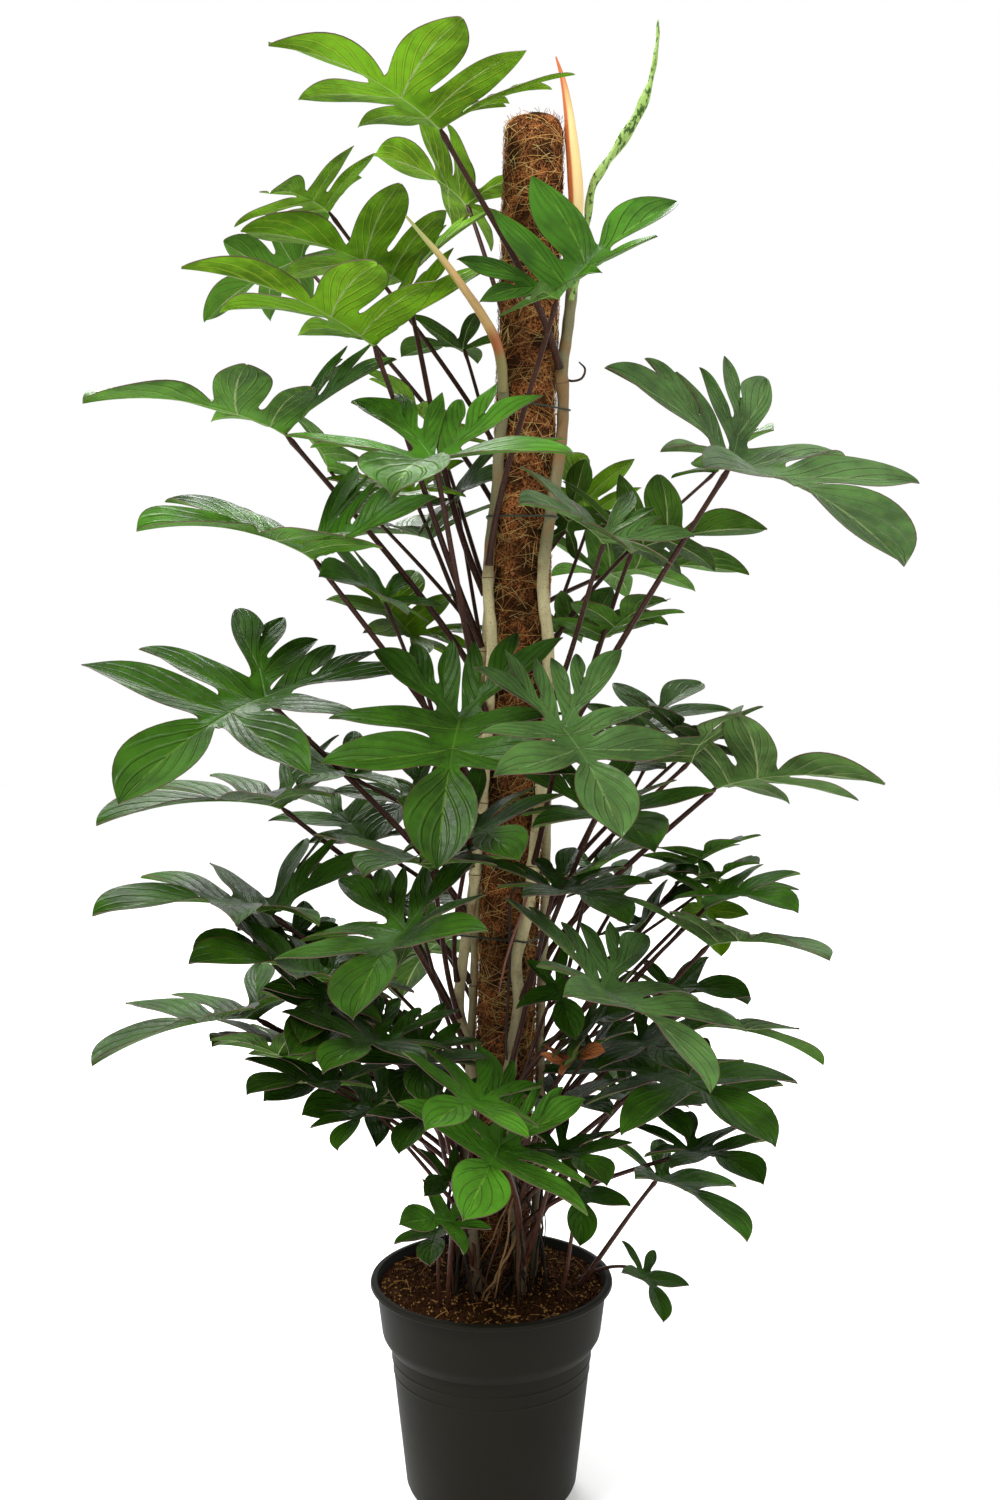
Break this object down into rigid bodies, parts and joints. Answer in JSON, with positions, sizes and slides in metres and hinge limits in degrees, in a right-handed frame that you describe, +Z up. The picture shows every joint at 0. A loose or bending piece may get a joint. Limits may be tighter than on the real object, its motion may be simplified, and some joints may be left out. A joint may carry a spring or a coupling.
{
  "type": "potted climbing philodendron on a coir pole",
  "caption": "Tall climbing houseplant with deeply lobed green leaves, trained up a coir-wrapped pole in a round dark nursery pot filled with soil.",
  "frame": {"origin": "centre of the pot's underside, on the surface it stands on", "axes": "+Z up along the plant, -Y towards the viewer, +X to the viewer's right, the way the pole leans a little"},
  "size_m": [0.8574, 0.6421, 1.6489],
  "materials": {
    "pot": "satin",
    "soil": "matte",
    "pole_wood": "matte",
    "coir": "matte",
    "stem": "satin",
    "leaf": "satin",
    "sheath": "satin",
    "tie_wire": "satin"
  },
  "bodies": {
    "root": {"pot": "pot", "soil": "soil", "pole_core": "pole_wood", "coir_sleeve": "coir", "stem_right": "stem", "stem_left": "stem", "stem_left_back": "stem", "stem_right_back": "stem", "stem_back": "stem", "top_sheath": "sheath", "tie_upper": "tie_wire", "tie_middle": "tie_wire", "tie_lower": "tie_wire", "leaf_01": "leaf", "leaf_02": "leaf", "leaf_03": "leaf", "leaf_04": "leaf", "leaf_05": "leaf", "leaf_06": "leaf", "leaf_07": "leaf", "leaf_08": "leaf", "leaf_09": "leaf", "leaf_10": "leaf", "leaf_11": "leaf", "leaf_12": "leaf", "leaf_13": "leaf", "leaf_14": "leaf", "leaf_15": "leaf", "leaf_16": "leaf", "leaf_17": "leaf", "leaf_18": "leaf", "leaf_19": "leaf", "leaf_20": "leaf", "leaf_21": "leaf", "leaf_22": "leaf", "leaf_23": "leaf", "leaf_24": "leaf", "leaf_25": "leaf", "leaf_26": "leaf", "leaf_27": "leaf", "leaf_28": "leaf", "leaf_29": "leaf", "leaf_30": "leaf", "leaf_31": "leaf", "leaf_32": "leaf", "leaf_33": "leaf", "leaf_34": "leaf", "leaf_35": "leaf", "leaf_36": "leaf", "leaf_37": "leaf", "leaf_38": "leaf", "leaf_39": "leaf", "leaf_40": "leaf", "leaf_41": "leaf", "leaf_42": "leaf", "leaf_43": "leaf", "leaf_44": "leaf", "leaf_45": "leaf", "leaf_46": "leaf"}
  },
  "joints": []
}
